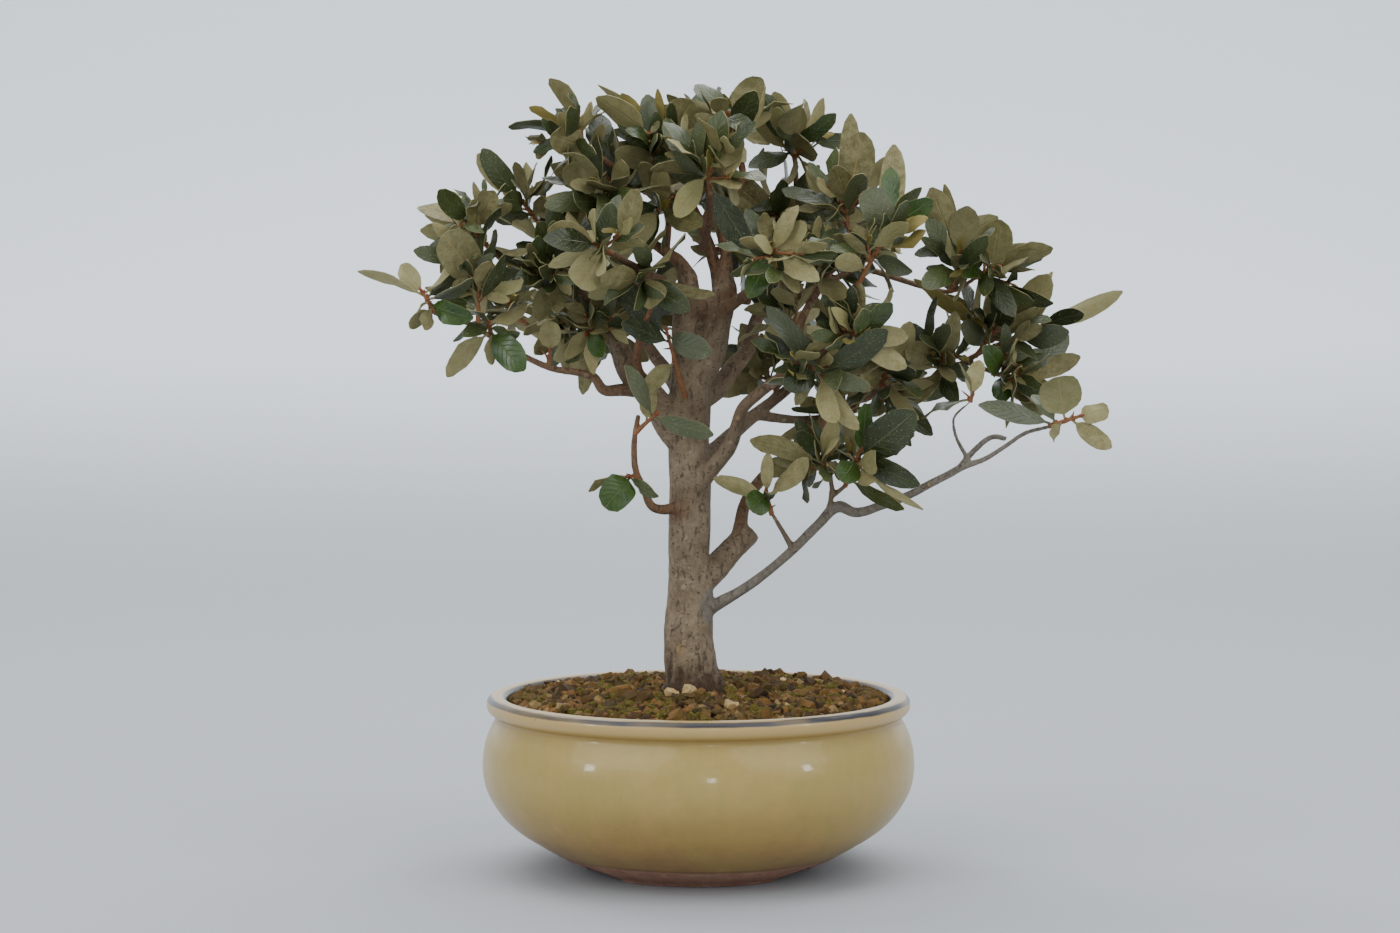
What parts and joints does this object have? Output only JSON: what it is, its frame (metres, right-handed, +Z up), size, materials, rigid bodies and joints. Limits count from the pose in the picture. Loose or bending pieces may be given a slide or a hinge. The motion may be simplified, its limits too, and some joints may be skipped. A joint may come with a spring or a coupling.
{
  "type": "thorny olive bonsai",
  "caption": "Evergreen bonsai with a straight trunk, spreading limbs and wavy oval leaves, silvery brown beneath, growing in a round glazed pot of granular soil.",
  "frame": {"origin": "under the middle of the whole tree and pot, on the plane that the pot's feet stand on", "axes": "+Z up along the trunk, +X to the right of the front view, -Y towards the front"},
  "size_m": [0.4574, 0.283, 0.4746],
  "materials": {
    "glaze": "glossy pale olive cream glaze, bare mauve brown clay at the foot",
    "soil": "rough fired clay granules with moss",
    "screen": "dull black plastic mesh",
    "bark": "smooth grey brown bark with small pores, rusty on the young wood",
    "leaf": "leathery, dark green and glossy above, silvery tan with brown specks beneath"
  },
  "bodies": {
    "root": {"pot": "glaze", "soil": "soil", "drain_screen_left": "screen", "drain_screen_right": "screen", "wood": "bark", "shoot_far_left": "leaf", "shoot_left_node": "leaf", "shoot_left_vertical": "leaf", "shoot_left_upper_tip": "leaf", "shoot_left_upper_mid": "leaf", "shoot_left_crown": "leaf", "shoot_left_limb_mid": "leaf", "shoot_left_limb_low": "leaf", "shoot_left_limb_back": "leaf", "shoot_left_lower_mid": "leaf", "shoot_upper_left": "leaf", "shoot_upper_left_low": "leaf", "shoot_upper_left_back": "leaf", "shoot_top_left": "leaf", "shoot_top_left_low": "leaf", "shoot_leader_tip": "leaf", "shoot_top_middle": "leaf", "shoot_top_right": "leaf", "shoot_top_right_low": "leaf", "shoot_right_top": "leaf", "shoot_right_high": "leaf", "shoot_right_upper": "leaf", "shoot_right_upper_tip": "leaf", "shoot_right_far": "leaf", "shoot_right_node": "leaf", "shoot_right_low": "leaf", "shoot_right_regrowth_mid": "leaf", "shoot_right_regrowth_low": "leaf", "shoot_right_regrowth_back": "leaf", "shoot_low_right_end": "leaf", "shoot_low_right_mid": "leaf", "shoot_low_centre": "leaf", "shoot_low_one": "leaf", "shoot_low_two": "leaf", "shoot_middle_node": "leaf", "shoot_middle_shoot_low": "leaf", "shoot_middle_right_mid": "leaf", "shoot_middle_right_high": "leaf", "shoot_front_right": "leaf", "shoot_front_top": "leaf", "shoot_front_left": "leaf", "shoot_front_left_mid": "leaf", "shoot_trunk_shoot": "leaf", "shoot_riser_tip": "leaf", "shoot_riser_low": "leaf", "shoot_back_left_tip": "leaf", "shoot_back_left_mid": "leaf", "shoot_back_left_low_tip": "leaf", "shoot_back_left_low_mid": "leaf", "shoot_back_right_tip": "leaf", "shoot_back_right_mid": "leaf", "shoot_back_right_low_tip": "leaf", "shoot_back_top_tip": "leaf", "shoot_back_top_mid": "leaf", "shoot_dark_limb_back": "leaf"}
  },
  "joints": []
}
